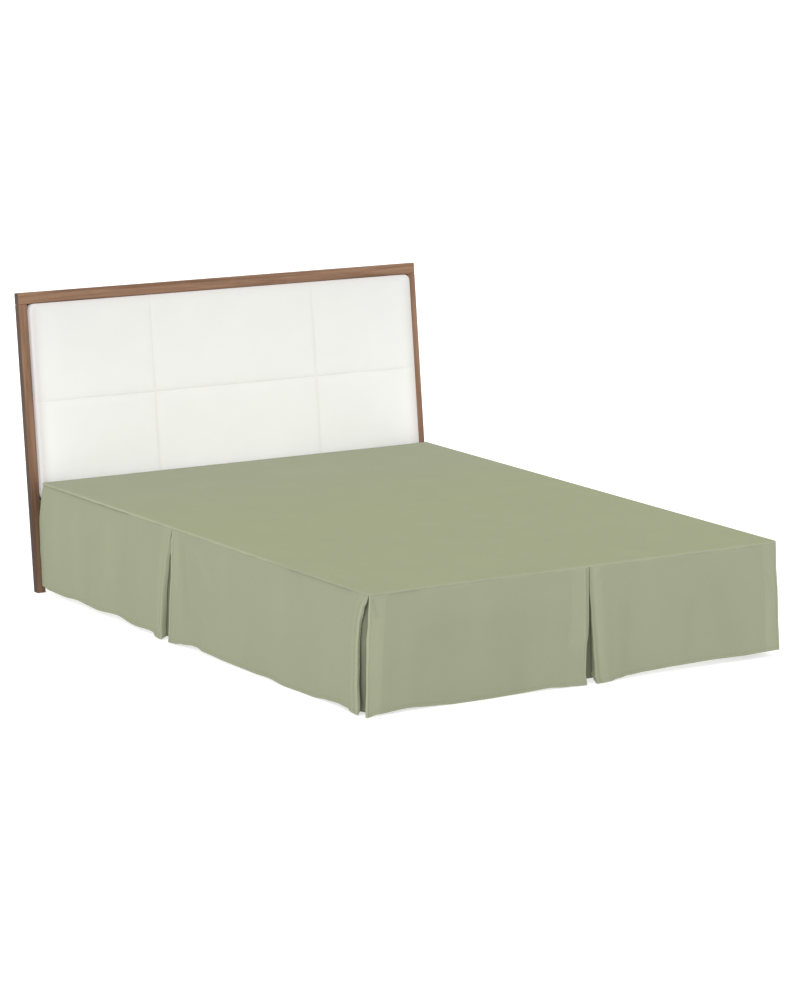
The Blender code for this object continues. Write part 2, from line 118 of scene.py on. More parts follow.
def raise_surface(tree, shader, source, strength, height):
    """Gives a surface its fine relief, from a source between 0 and 1."""
    bump = add_node(tree, "ShaderNodeBump", {"Strength": strength, "Distance": height})
    tree.links.new(source, bump.inputs["Height"])
    tree.links.new(bump.outputs["Normal"], shader.inputs["Normal"])


def raise_weave(tree, shader, across, thread, height):
    """Threads over and under each other: two sets of fine bands, one for each way of the cloth."""
    bands = []
    for way in ("X", "Y"):
        wave = add_node(tree, "ShaderNodeTexWave", {"Scale": math.tau / 20 / thread, "Distortion": 0.6,
                                                    "Detail": 1.0, "Detail Scale": 0.4}, bands_direction=way)
        tree.links.new(across, wave.inputs["Vector"])
        bands.append(wave.outputs["Fac"])
    raise_surface(tree, shader, larger_of(tree, bands), strength=0.35, height=height)


def base_cover_finish():
    made, tree, shader = new_finish("pale_grey_ticking", 0.9)
    place = add_node(tree, "ShaderNodeTexCoord").outputs["Object"]
    flecks = speckled(tree, place, 900.0, 3.0)
    tree.links.new(toned(tree, BASE_GREY, flecks, 0.10), shader.inputs["Base Color"])
    raise_weave(tree, shader, place, thread=0.0011, height=0.0004)
    return made


def add_piece(name, bm, finish, sharp=50):
    """Makes a mesh piece of the root body, smooth but for its true edges."""
    mesh = bpy.data.meshes.new(name)
    bm.to_mesh(mesh)
    bm.free()
    mesh.materials.append(finish)
    mesh.shade_smooth()
    mesh.set_sharp_from_angle(angle=math.radians(sharp))
    piece = bpy.data.objects.new(name, mesh)
    bpy.context.scene.collection.objects.link(piece)
    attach(piece, "root")
    return piece


def base_outline(inset):
    """Plan points of the base's outline, round at its corners and drawn in by inset."""
    reach = max(BASE_CORNER - inset, 0.001)
    points = []
    for sign_x, sign_y, first in ((1, -1, -90), (1, 1, 0), (-1, 1, 90), (-1, -1, 180)):
        centre_x = (base_high.x if sign_x > 0 else base_low.x) - sign_x * (inset + reach)
        centre_y = (base_high.y if sign_y > 0 else base_low.y) - sign_y * (inset + reach)
        for k in range(BASE_CORNER_STEPS + 1):
            angle = math.radians(first + 90 * k / BASE_CORNER_STEPS)
            points.append((centre_x + reach * math.cos(angle), centre_y + reach * math.sin(angle)))
    return points


def piping_profile(centre):
    """Inset and height of a round piping, from its underside to its top."""
    profile = []
    for turn in range(-80, 81, 20):
        angle = math.radians(turn)
        profile.append((PIPING - PIPING * math.cos(angle), centre + PIPING * math.sin(angle)))
    return profile


def cover_profile():
    """Inset and height up the side of the box: a piping at each edge and a taut wall between."""
    low = base_low.z
    high = base_high.z
    span = high - low - 4 * PIPING
    wall = [(COVER_WALL, low + 2 * PIPING + span * share) for share in (0.01, 0.2, 0.4, 0.6, 0.8, 0.99)]
    under = [(COVER_INSIDE, low + COVER_CLEAR), (COVER_EDGE, low + COVER_CLEAR)]
    over = [(COVER_EDGE, high - COVER_DIP), (COVER_INSIDE, high)]
    return under + piping_profile(low + PIPING) + wall + piping_profile(high - PIPING) + over


def loft(bm, rings):
    """Faces between closed rings of points, and a face over each end."""
    loops = [[bm.verts.new(point) for point in ring] for ring in rings]
    for lower, upper in zip(loops, loops[1:]):
        for k in range(len(lower)):
            n = (k + 1) % len(lower)
            bm.faces.new((lower[k], lower[n], upper[n], upper[k]))
    bm.faces.new(loops[0][::-1])
    bm.faces.new(loops[-1])


def cover_base():
    bm = bmesh.new()
    loft(bm, [[(x, y, height) for x, y in base_outline(inset)] for inset, height in cover_profile()])
    return add_piece("base_cover", bm, base_cover_finish())


base_cover = cover_base()
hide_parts("box_base")

# Feet: five turned black plastic feet, screwed into the underside of the box. Each has a
# flange against the box, a slightly tapered body and a worn rim on the floor.

FOOT_NODES = ("foot_centre", "foot_near_left", "foot_near_right", "foot_head_left", "foot_head_right")
FOOT_SIDES = 48
FOOT_BLACK = (0.022, 0.022, 0.023, 1.0)

# Shares of the foot's radius and of its height, from its worn rim up to its flange
FOOT_PROFILE = ((0.90, 0.0), (0.95, 0.015), (0.96, 0.05), (0.90, 0.07), (0.89, 0.11), (0.92, 0.5),
                (0.95, 0.88), (0.985, 0.90), (1.0, 0.92), (1.0, 0.985), (0.97, 1.0))


def foot_finish():
    made, tree, shader = new_finish("matte_black_plastic", 0.5)
    place = add_node(tree, "ShaderNodeTexCoord").outputs["Object"]
    grain = speckled(tree, place, 1400.0, 2.0)
    dust = speckled(tree, place, 40.0, 4.0)
    tree.links.new(toned(tree, FOOT_BLACK, dust, 0.25), shader.inputs["Base Color"])
    raise_surface(tree, shader, grain, strength=0.3, height=0.0002)
    return made


def turn_feet():
    finish = foot_finish()
    for node in FOOT_NODES:
        low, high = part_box(node)
        middle = (low + high) / 2
        radius = (high.x - low.x) / 2
        tall = high.z - low.z
        rings = []
        for wide, up in FOOT_PROFILE:
            ring = []
            for k in range(FOOT_SIDES):
                angle = math.tau * k / FOOT_SIDES
                ring.append((middle.x + radius * wide * math.cos(angle),
                             middle.y + radius * wide * math.sin(angle), low.z + tall * up))
            rings.append(ring)
        bm = bmesh.new()
        loft(bm, rings)
        foot = add_piece("turned_" + node, bm, finish, 35)
        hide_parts(node)


turn_feet()

# Deck cloth: the flat sheet of sage green cloth that covers the box under the mattress. It
# rolls over the edge on three sides into the seam with the drops, and has a narrow hem at
# the head of the bed. All the skirt's pieces are cut from this one plain weave.

CLOTH = 0.002
BED_WIDTH = 1.580
BED_LENGTH = 1.980
HALF_WIDTH = BED_WIDTH / 2
HALF_LENGTH = BED_LENGTH / 2
DECK_HEIGHT = 0.381
DECK_LIP = 0.007
DECK_ROLL = 0.004
DECK_CORNER = 0.012
DECK_ARC_STEPS = 6
DECK_ROLL_STEPS = 6
DECK_STEP = 0.014
DECK_HEM = 0.009
DECK_HEM_SINK = 0.0006
# Painted shade: the one weave is greyer on the deck's rolled edge, and darker and greyer on the drops, than
# on the deck's top.
DECK_SAGE = (0.307, 0.329, 0.208, 1.0)
EDGE_SAGE = (0.307, 0.326, 0.229, 1.0)
DROP_SAGE_WITH_PAINTED_SHADE = (0.266, 0.283, 0.195, 1.0)
MM = 0.001

# Painted highlight on the deck's rolled edge, and painted shade where a value is negative: how much lighter
# it is, by millimetres along the left side from the head, along the foot side from the near corner and along
# the right side from the far corner
DECK_SEAM_PAINTED_LIGHT = {
    "left": ((0, -0.03), (250, 0.0), (330, 0.06), (700, 0.05), (843, 0.02), (1380, 0.01),
             (1500, -0.10), (1980, -0.10)),
    "foot": ((0, -0.07), (430, -0.06), (640, -0.04), (900, -0.02), (1300, -0.03), (1580, -0.03)),
    "right": ((0, -0.03), (1500, -0.03)),
}

# How much of that each line of the roll has, from the seam up
LIP_SHARES = (1.0, 1.0, 1.0, 0.9, 0.7, 0.4, 0.1)


def parted(tree, vector):
    """A vector's X, Y and Z, each on its own."""
    made = add_node(tree, "ShaderNodeSeparateXYZ")
    tree.links.new(vector, made.inputs[0])
    return made.outputs


def blended(tree, factor, first, second):
    """A colour between two: the first at a factor of 0 and the second at 1."""
    made = add_node(tree, "ShaderNodeMix", data_type="RGBA")
    tree.links.new(factor, made.inputs["Factor"])
    if isinstance(first, tuple):
        made.inputs[6].default_value = first
    else:
        tree.links.new(first, made.inputs[6])
    made.inputs[7].default_value = second
    return made.outputs[2]


def marked(tree, label):
    """The value that each point of a mesh has under a label."""
    return add_node(tree, "ShaderNodeAttribute", attribute_name=label).outputs["Fac"]


def sage_cloth_finish(name, sage, far_sage):
    """Plain sage green weave, a little greyer towards the head of the bed, and greyer where it rolls down as
    painted shade.

    A marked attribute lightens doubled cloth, and holds the painted light and shade of seams, folds,
    creases, hem and returns, and painted shade in recesses.
    """
    made, tree, shader = new_finish(name, 0.95)
    shader.inputs["Specular IOR Level"].default_value = 0.06
    weave = add_node(tree, "ShaderNodeUVMap", uv_map="weave").outputs["UV"]
    place = add_node(tree, "ShaderNodeTexCoord")
    stretch = add_node(tree, "ShaderNodeMapping", {"Scale": (900.0, 60.0, 1.0)})
    tree.links.new(weave, stretch.inputs["Vector"])
    slubs = speckled(tree, stretch.outputs["Vector"], 1.0, 3.0)
    dye = speckled(tree, place.outputs["Object"], 6.0, 4.0, Roughness=0.6)
    headward = graded(tree, parted(tree, place.outputs["Object"])["Y"], 0.10, 0.85, 0.0, 1.0)
    # Painted shade: the cloth takes the greyer colour where it rolls down.
    rolled = graded(tree, parted(tree, place.outputs["Normal"])["Z"], 0.60, 0.98, 1.0, 0.0)
    colour = blended(tree, larger_of(tree, (headward, rolled)), sage, far_sage)
    colour = toned(tree, colour, slubs, 0.03)
    colour = toned(tree, colour, dye, 0.018)
    colour = scaled(tree, colour, marked(tree, "tone_and_painted_light"))
    tree.links.new(colour, shader.inputs["Base Color"])
    raise_weave(tree, shader, weave, thread=0.0007, height=0.00025)
    return made


def smooth(share):
    share = min(max(share, 0.0), 1.0)
    return share * share * (3 - 2 * share)


def eased(table, at, column=1):
    """Reads a column of a table at a place in its first column, easing from row to row."""
    if at <= table[0][0]:
        return table[0][column]
    for low, high in zip(table, table[1:]):
        if at <= high[0]:
            share = smooth((at - low[0]) / (high[0] - low[0]))
            return low[column] + (high[column] - low[column]) * share
    return table[-1][column]


def uneven(x, y, size, seed):
    """Soft chance unevenness of cloth, between about -1 and 1, for features of a given size."""
    return noise.noise(Vector((x / size, y / size, seed * 7.31)))


def mark_points(bm, flat, label, values):
    """Gives each point its flat coordinates for the weave, and one value under a label."""
    places = [flat[vert] for vert in bm.verts]
    marks = [values[vert] for vert in bm.verts]
    bm.verts.index_update()
    weave = bm.loops.layers.uv.new("weave")
    for face in bm.faces:
        for corner in face.loops:
            corner[weave].uv = places[corner.vert.index]
    layer = bm.verts.layers.float.new(label)
    for vert in bm.verts:
        vert[layer] = marks[vert.index]
    bmesh.ops.recalc_face_normals(bm, faces=bm.faces)


def add_cloth(name, bm, flat, tone_and_painted_light, finish):
    """A sheet of the skirt's cloth, 2 mm thick, with its weave along its flat coordinates."""
    mark_points(bm, flat, "tone_and_painted_light", tone_and_painted_light)
    piece = add_piece(name, bm, finish, 180)
    solid = piece.modifiers.new("cloth_thickness", "SOLIDIFY")
    solid.thickness = CLOTH
    solid.offset = 0.0
    solid.use_even_offset = True
    solid.use_quality_normals = True
    bpy.context.view_layer.update()
    thick = bpy.data.meshes.new_from_object(piece.evaluated_get(bpy.context.evaluated_depsgraph_get()))
    piece.modifiers.clear()
    piece.data = thick
    thick.set_sharp_from_angle(angle=math.radians(70))
    return piece


def steps_between(start, end, step):
    count = max(1, math.ceil(abs(end - start) / step))
    return [start + (end - start) * k / count for k in range(count + 1)]


def span_faces(bm, rows):
    """Faces from each row of points to the next."""
    for upper, lower in zip(rows, rows[1:]):
        for k in range(len(upper) - 1):
            bm.faces.new((upper[k], upper[k + 1], lower[k + 1], lower[k]))


def seam_pull(along, seed):
    """How a seam line wanders: long bows with short puckers between the stitches, in metres."""
    return 0.0007 * uneven(along, 0.0, 0.16, seed) + 0.0004 * uneven(along, 0.0, 0.035, seed + 1)


def deck_ring(inset, height, side_ys, foot_xs):
    """One line round the deck's edge on its three sewn sides, drawn in by inset."""
    reach = DECK_CORNER - inset
    points = [(-HALF_WIDTH + inset, y) for y in side_ys]
    for sign in (-1, 1):
        centre = (sign * (HALF_WIDTH - DECK_CORNER), -HALF_LENGTH + DECK_CORNER)
        first = 180 if sign < 0 else 270
        for k in range(1, DECK_ARC_STEPS):
            angle = math.radians(first + 90 * k / DECK_ARC_STEPS)
            points.append((centre[0] + reach * math.cos(angle), centre[1] + reach * math.sin(angle)))
        if sign < 0:
            points += [(x, -HALF_LENGTH + inset) for x in foot_xs]
    points += [(HALF_WIDTH - inset, y) for y in reversed(side_ys)]
    ring = []
    for x, y in points:
        pull = seam_pull(x + 3.1 * y, 3) * (1 if height < DECK_HEIGHT - 0.003 else 0.2)
        ring.append((x, y, height + pull))
    return ring


def deck_rise(x, y):
    """The flat deck's slight unevenness: about half a millimetre, less at its edges."""
    edge = min(HALF_WIDTH - abs(x), y + HALF_LENGTH, 0.10) / 0.10
    lie = 0.5 * uneven(x, y, 0.45, 11) + 0.18 * uneven(x, y, 0.14, 12)
    return 0.001 * (lie - 0.35) * smooth(edge)


def lip_painted_light(place):
    """How much lighter the deck's rolled edge is painted at a place on it, as painted highlight, and darker
    as painted shade where negative.
    """
    if place.y < -HALF_LENGTH + DECK_CORNER:
        return eased(DECK_SEAM_PAINTED_LIGHT["foot"], (place.x + HALF_WIDTH) / MM)
    if place.x < 0:
        return eased(DECK_SEAM_PAINTED_LIGHT["left"], (HALF_LENGTH - place.y) / MM)
    return eased(DECK_SEAM_PAINTED_LIGHT["right"], (place.y + HALF_LENGTH) / MM)


def lay_deck():
    side_ys = steps_between(HALF_LENGTH, -HALF_LENGTH + DECK_CORNER, DECK_STEP)
    side_ys[1:1] = [HALF_LENGTH - DECK_HEM * share for share in (1 / 3, 2 / 3, 1)]
    foot_xs = steps_between(-HALF_WIDTH + DECK_CORNER, HALF_WIDTH - DECK_CORNER, DECK_STEP)
    radius = DECK_ROLL + CLOTH / 2
    profile = [(CLOTH / 2, DECK_HEIGHT - DECK_LIP)]
    for k in range(DECK_ROLL_STEPS + 1):
        angle = math.pi / 2 * k / DECK_ROLL_STEPS
        height = DECK_HEIGHT - CLOTH / 2 - radius * (1 - math.sin(angle))
        profile.append((CLOTH / 2 + radius * (1 - math.cos(angle)), height))
    bm = bmesh.new()
    rings = [[bm.verts.new(point) for point in deck_ring(inset, height, side_ys, foot_xs)]
             for inset, height in profile]
    tone_and_painted_light = {}
    # Painted highlight and shade along the deck's rolled edge
    for ring, share in zip(rings, LIP_SHARES):
        for vert in ring:
            tone_and_painted_light[vert] = 1.0 + lip_painted_light(vert.co) * share
    span_faces(bm, rings)
    rim = rings[-1]
    count_y = len(side_ys)
    arc = DECK_ARC_STEPS - 1
    foot_at = count_y + arc
    foot_end = foot_at + len(foot_xs)
    left = rim[:count_y]
    first_arc = rim[count_y:foot_at]
    foot = rim[foot_at:foot_end]
    second_arc = rim[foot_end:foot_end + arc]
    right = rim[-count_y:][::-1]
    rows = []
    for j, y in enumerate(side_ys):
        row = [left[j]]
        hem = DECK_HEM_SINK * smooth((y - (HALF_LENGTH - DECK_HEM)) / (DECK_HEM / 3))
        for x in foot_xs:
            row.append(bm.verts.new((x, y, DECK_HEIGHT - CLOTH / 2 + deck_rise(x, y) - hem)))
        rows.append(row + [right[j]])
    span_faces(bm, rows)
    last = rows[-1]
    for k in range(len(foot) - 1):
        bm.faces.new((last[k + 1], last[k + 2], foot[k + 1], foot[k]))
    bm.faces.new([last[0], last[1], foot[0]] + first_arc[::-1])
    bm.faces.new([last[-1]] + second_arc[::-1] + [foot[-1], last[-2]])
    flat = {vert: (vert.co.x, vert.co.y) for vert in bm.verts}
    tone_and_painted_light = {vert: tone_and_painted_light.get(vert, 1.0) for vert in bm.verts}
    finish = sage_cloth_finish("sage_green_deck_weave", DECK_SAGE, EDGE_SAGE)
    return add_cloth("deck_cloth", bm, flat, tone_and_painted_light, finish)


deck_cloth = lay_deck()
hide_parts("deck")

# Drops: six hemmed panels that hang from the deck's seam to the floor, two on each side of
# the bed. Their ends are folded in at the pleats and the near corners, so that the cloth is
# double beside each fold, and a stitched hem runs along the bottom.

TOUCH = 0.0003
SEAM_GAP = 0.0004
DROP_DEPTH = 0.0015
RETURN_DEPTH_LIMIT = 0.0043
SIDE_PLEAT_Y = 0.147
FOOT_PLEAT_X = 0.039
RETURN_FLAT = 0.015
RETURN_OPEN = {"side pleat open": 0.017, "foot pleat open": 0.020, "corner open": 0.007}
RETURN_SHADE = {"side pleat open": 0.22, "foot pleat open": 0.05, "corner open": 0.05}
RETURN_SHORTEST = 0.001
RETURN_ROOM = 0.004
RETURN_LIFT = 0.010
SEAM_SHADE_DEPTH = 0.012
FOLD_RADIUS_TOP = 0.0014
FOLD_RADIUS_HEM = 0.0036
OPEN_FOLD = math.radians(95)
FLAT_FOLD = math.radians(180)
FOLD_STEPS = 8
FOLD_HALVINGS = 24
STATION_STEP = 7
LEVEL_STEP = 0.0075
DOUBLED_HEM = 0.0125
HEM_STITCHES = 0.0108
HEM_LIP = 0.0016
HEM_ROWS_FROM = 0.028
HEM_ROWS = (0.022, 0.017, 0.014, 0.0125, 0.0115, 0.0105, 0.0095, 0.0085, 0.006, 0.003, 0.0015, 0.0006, 0.0)
DROP_TOP = DECK_HEIGHT - DECK_LIP - SEAM_GAP

# How much darker the drops' top edge is painted, as painted shade under the deck's lip, with painted light
# where a value is negative, by millimetres along each side as for the deck's edge
DROP_SEAM_PAINTED_SHADE = {
    "left": ((0, 0.16), (250, 0.30), (520, 0.30), (600, 0.04), (1500, 0.04), (1560, 0.22),
             (1870, 0.22), (1900, 0.04)),
    "foot": ((0, 0.02), (70, 0.02), (90, 0.12), (170, 0.12), (220, -0.06), (1100, -0.06),
             (1300, -0.03), (1580, -0.03)),
    "right": ((0, 0.0), (600, 0.08), (1100, 0.0)),
}

# Rows of each hem from its left end: millimetres along, out from the deck's edge and up
LEFT_HEAD_HEM = ((0, 4, 26), (55, 6, 19), (170, 9, 18), (250, 6, 22), (330, 8, 18), (390, 9, 16),
                 (520, 5, 22), (640, 9, 12), (752, 12, 17), (774, 13, 15), (786, 14, 4), (821, 14, 2))
LEFT_FOOT_HEM = ((0, 14, 2), (30, 13, 4), (73, 10, 10), (140, 6, 17), (163, 6, 17), (200, 7, 11),
                 (330, 9, 8), (500, 6, 5), (585, 7, 8), (690, 10, 2), (840, 8, 3), (920, 9, 10),
                 (980, 11, 14), (1045, 15, 13), (1057, 16, 6), (1095, 17, 3))
FOOT_LEFT_HEM = ((0, 20, 3), (40, 15, 7), (157, 8, 11), (267, 6, 5), (330, 7, 2), (440, 8, 2), (570, 6, 3),
                 (690, 9, 8), (760, 13, 4), (832, 18, 2))
FOOT_RIGHT_HEM = ((0, 20, 2), (45, 18, 3), (85, 14, 8), (125, 10, 12), (200, 7, 15), (320, 6, 18),
                  (470, 8, 21), (600, 9, 19), (670, 12, 22), (737, 15, 24))
RIGHT_FOOT_HEM = ((0, 15, 22), (60, 11, 14), (250, 7, 10), (450, 9, 14), (650, 6, 11), (850, 8, 8),
                  (1000, 12, 9), (1089, 16, 3))
RIGHT_HEAD_HEM = ((0, 16, 3), (60, 12, 9), (220, 7, 12), (420, 9, 9), (620, 6, 15), (780, 7, 19),
                  (833, 5, 24))

# Share of the drop above, and millimetres that a drop's end stands back from its pleat or corner
HEAD_END = ((0.0, 3), (0.12, -8), (0.36, -19), (0.62, -13), (0.85, 0), (1.0, 6))
SIDE_PLEAT_WIDE = ((0.0, 1.4), (0.15, 18), (0.30, 32), (0.60, 43), (0.90, 43), (1.0, 39))
SIDE_PLEAT_NARROW = ((0.0, 1.4), (0.20, 2), (0.40, 7), (0.60, 3), (1.0, 5))
FOOT_PLEAT_LEFT = ((0.0, 1.4), (0.44, 1.4), (0.56, 4), (0.66, 12), (0.90, 15), (1.0, 10))
FOOT_PLEAT_RIGHT = ((0.0, 1.4), (0.18, 2), (0.41, 8), (0.68, 15), (0.90, 21), (1.0, 28))
NEAR_CORNER_SIDE = ((0.0, 6), (0.05, 16), (0.12, 29), (0.26, 40), (0.40, 42), (0.72, 36), (1.0, 24))
NEAR_CORNER_FOOT = ((0.0, 6), (0.20, 2), (0.40, -3), (0.70, -7), (1.0, -12))
FAR_CORNER_FOOT = ((0.0, 6), (0.20, 4), (0.44, -5), (0.70, -7), (1.0, -12))
FAR_CORNER_SIDE = ((0.0, 6), (0.25, 12), (0.60, 18), (1.0, 16))

# Where each side of the bed starts, which way its drops run and which way they face
Side = namedtuple("Side", "name origin run face")
LEFT_SIDE = Side("left", (-HALF_WIDTH, HALF_LENGTH), (0, -1), (-1, 0))
FOOT_SIDE = Side("foot", (-HALF_WIDTH, -HALF_LENGTH), (1, 0), (0, -1))
RIGHT_SIDE = Side("right", (HALF_WIDTH, -HALF_LENGTH), (0, 1), (1, 0))

# Soft creases of a drop, each one a ridge or a trough in millimetres: its place along the drop
# at its top and at its bottom, its top and bottom as shares of the drop, its half width, how
# far it stands out and how much lighter it is painted, as painted light on a ridge and painted shade in a
# trough
LEFT_HEAD_CREASES = (
    (95, 110, 0.05, 0.80, 26, 1.6, 0.020),
    (232, 250, 0.10, 0.98, 30, 1.8, 0.022),
    (330, 318, 0.30, 1.00, 20, -1.4, -0.015),
    (430, 470, 0.00, 0.70, 34, 1.2, 0.015),
    (560, 520, 0.25, 1.00, 26, -1.2, -0.012),
    (690, 676, 0.10, 1.00, 30, 1.0, 0.012),
)
LEFT_FOOT_CREASES = (
    (58, 96, 0.10, 0.75, 16, -2.4, -0.035),
    (150, 235, 0.12, 0.42, 24, 1.3, 0.022),
    (300, 330, 0.05, 0.95, 40, 1.3, 0.012),
    (470, 455, 0.20, 1.00, 34, -1.3, -0.012),
    (640, 660, 0.10, 1.00, 44, 1.4, 0.012),
    (800, 780, 0.15, 1.00, 32, -1.2, -0.010),
    (930, 915, 0.00, 0.85, 30, 1.2, 0.012),
)
FOOT_LEFT_CREASES = (
    (8, 32, 0.02, 0.20, 8, -1.8, -0.080),
    (27, 28, 0.15, 1.10, 20, 0.4, 0.055),
    # This row has no relief; it only darkens a broad patch of the drop.
    (400, 400, 0.25, 1.10, 330, 0.0, -0.034),
    (150, 140, 0.25, 1.00, 36, 1.3, 0.010),
    (300, 322, 0.10, 1.00, 46, -1.2, -0.010),
    (430, 440, 0.00, 0.90, 40, 1.1, 0.010),
    (600, 585, 0.20, 1.00, 36, -1.2, -0.012),
    (700, 690, 0.05, 0.90, 26, 1.0, 0.012),
)
FOOT_RIGHT_CREASES = (
    (1, 9, 0.02, 1.10, 7, -1.2, -0.150),
    (22, 20, 0.05, 1.10, 12, 0.6, 0.030),
    (30, 8, 0.00, 0.10, 8, 1.2, 0.035),
    (44, 30, 0.02, 0.12, 7, -1.2, -0.040),
    (140, 128, 0.35, 1.00, 22, -2.0, -0.028),
    (240, 262, 0.05, 0.90, 40, 1.2, 0.010),
    (400, 372, 0.40, 1.00, 30, -1.8, -0.025),
    (520, 560, 0.30, 1.00, 44, -1.4, -0.020),
    (640, 650, 0.00, 0.80, 30, 1.2, 0.010),
    (702, 704, 0.45, 0.98, 14, 1.6, 0.030),
    (690, 712, 0.24, 0.34, 6, -1.2, -0.030),
)
RIGHT_FOOT_CREASES = (
    (110, 122, 0.10, 1.00, 34, 1.5, 0.012),
    (330, 310, 0.15, 1.00, 38, -1.4, -0.012),
    (560, 590, 0.05, 0.95, 44, 1.3, 0.012),
    (800, 780, 0.20, 1.00, 34, -1.3, -0.012),
    (980, 990, 0.05, 0.90, 30, 1.1, 0.010),
)
RIGHT_HEAD_CREASES = (
    (130, 150, 0.10, 0.95, 34, 1.3, 0.012),
    (300, 290, 0.20, 1.00, 30, -1.3, -0.012),
    (470, 500, 0.05, 0.90, 40, 1.2, 0.012),
    (640, 620, 0.15, 1.00, 34, 1.2, 0.010),
    (745, 750, 0.20, 1.00, 24, -1.1, -0.010),
)


def corner_fall(distance):
    """How far the seam falls back round the deck's rounded corner."""
    past = DECK_CORNER - min(max(distance, 0.0), DECK_CORNER)
    return DECK_CORNER - math.sqrt(DECK_CORNER**2 - past**2)


def fold_angle(room, radius, length, least, most):
    """The turn at which a return's end comes as deep as its room allows."""
    for _ in range(FOLD_HALVINGS):
        angle = (least + most) / 2
        depth = radius * (1 - math.cos(angle)) + length * math.sin(angle)
        if (depth > room) == (most > OPEN_FOLD):
            least = angle
        else:
            most = angle
    return (least + most) / 2


def fold_points(edge, out, away, radius, angle, length):
    """Plan points of a folded edge and of the return behind it, each with its share of the return."""
    points = []
    for step in range(1, FOLD_STEPS + 1):
        turn = angle * step / FOLD_STEPS
        along = edge - away * radius * (1 - math.sin(turn))
        points.append((along, out - radius * (1 - math.cos(turn)), 0.0))
    along, depth, _ = points[-1]
    for share in (0.25, 0.5, 0.75, 1.0):
        run = length * share
        points.append((along + away * run * math.cos(angle), depth - run * math.sin(angle), share))
    return points


def drop_stations(total):
    """Places along a drop, close together beside its folds and at the edge of the doubled cloth."""
    edge = [0, 1, 2, 3, 4, 5, 6.5, 8, 10, 12, 14, 17, 20, 24, 29, 35, 42, 47, 50, 52, 54, 56, 58, 61, 66, 72]
    free = total - 2 * edge[-1]
    count = round(free / STATION_STEP)
    middle = [edge[-1] + k * free / count for k in range(1, count)]
    return edge + middle + [total - place for place in reversed(edge)]


def drop_levels():
    """Shares of the drop for its rows: even down the face, and close together at the hem."""
    face = steps_between(0.0, DROP_TOP - HEM_ROWS_FROM, LEVEL_STEP)
    hem = [1 - high / DROP_TOP for high in HEM_ROWS]
    return [0.0, 0.004] + [place / DROP_TOP for place in face[1:]] + hem


def crease_relief(creases, station, down):
    """Height in millimetres and painted light and shade of a drop's soft creases at one place."""
    rise = 0.0
    light = 0.0
    for top_at, low_at, top, low, wide, high, pale in creases:
        share = (down - top) / (low - top)
        if -0.2 < share < 1.2:
            middle = top_at + (low_at - top_at) * share
            ends = smooth((share + 0.15) / 0.30) * smooth((1.15 - share) / 0.30)
            swell = math.exp(-(((station - middle) / wide) ** 2)) * ends
            rise += high * swell
            light += pale * swell
    return rise, light


def fold_relief(distance, down, doubled):
    """Height in millimetres and lightness beside a folded edge, at a distance of some metres.

    A bead follows the fold, a shallow trough lies behind it, and the doubled cloth is lighter. The bead also
    gets a painted highlight and the trough painted shade.
    """
    top_width, low_width, fades_at, bead_width, starts_at = doubled
    far = distance / MM
    bead = math.exp(-(((far - bead_width * 0.5) / (bead_width * 0.5)) ** 2))
    trough = math.exp(-(((far - bead_width * 1.6) / (bead_width * 0.45)) ** 2))
    strength = smooth((down - starts_at) / 0.10)
    band = smooth((top_width + (low_width - top_width) * down - far) / 5 + 0.5)
    fade = 1 - smooth((down - fades_at) / 0.15)
    rise = (1.0 * bead - 0.9 * trough) * strength + 0.8 * band * fade * smooth(down / 0.10)
    light = (0.085 * bead - 0.085 * trough) * strength + 0.045 * band * fade
    return rise, light


def rolled_strip(far, down):
    """The foot pleat's left drop turns gently inward beside the closed upper half of the pleat, with a
    painted highlight on its lit strip and painted shade where it turns in.
    """
    lit = math.exp(-(((far - 19.5) / 2.0) ** 2)) * smooth(down / 0.04)
    turned = smooth((18.5 - far) / 3.0) * (1 - smooth((down - 0.75) / 0.1))
    return -2.2 * smooth((18.5 - far) / 17) * smooth(down / 0.1), 0.09 * lit - 0.13 * turned


def hem_relief(high):
    """Height in millimetres and lightness of the stitched hem at a height above the bottom edge: a painted
    highlight along the edge, painted shade in the stitch line, and the doubled hem a little darker.
    """
    doubled = smooth((DOUBLED_HEM - high) / 0.002)
    stitched = math.exp(-(((high - HEM_STITCHES) / 0.0012) ** 2))
    lip = math.exp(-((high / HEM_LIP) ** 2))
    return 0.5 * doubled - 0.5 * stitched, 0.10 * lip - 0.07 * stitched - 0.012 * doubled


def side_place(side, along, out):
    """The plan point at a distance along a side of the bed and out from it."""
    x = side.origin[0] + side.run[0] * along + side.face[0] * out
    y = side.origin[1] + side.run[1] * along + side.face[1] * out
    return x, y


def is_folded(drop, at):
    return drop.kinds[at] != "head"


def fold_radius(down):
    return FOLD_RADIUS_TOP + (FOLD_RADIUS_HEM - FOLD_RADIUS_TOP) * down


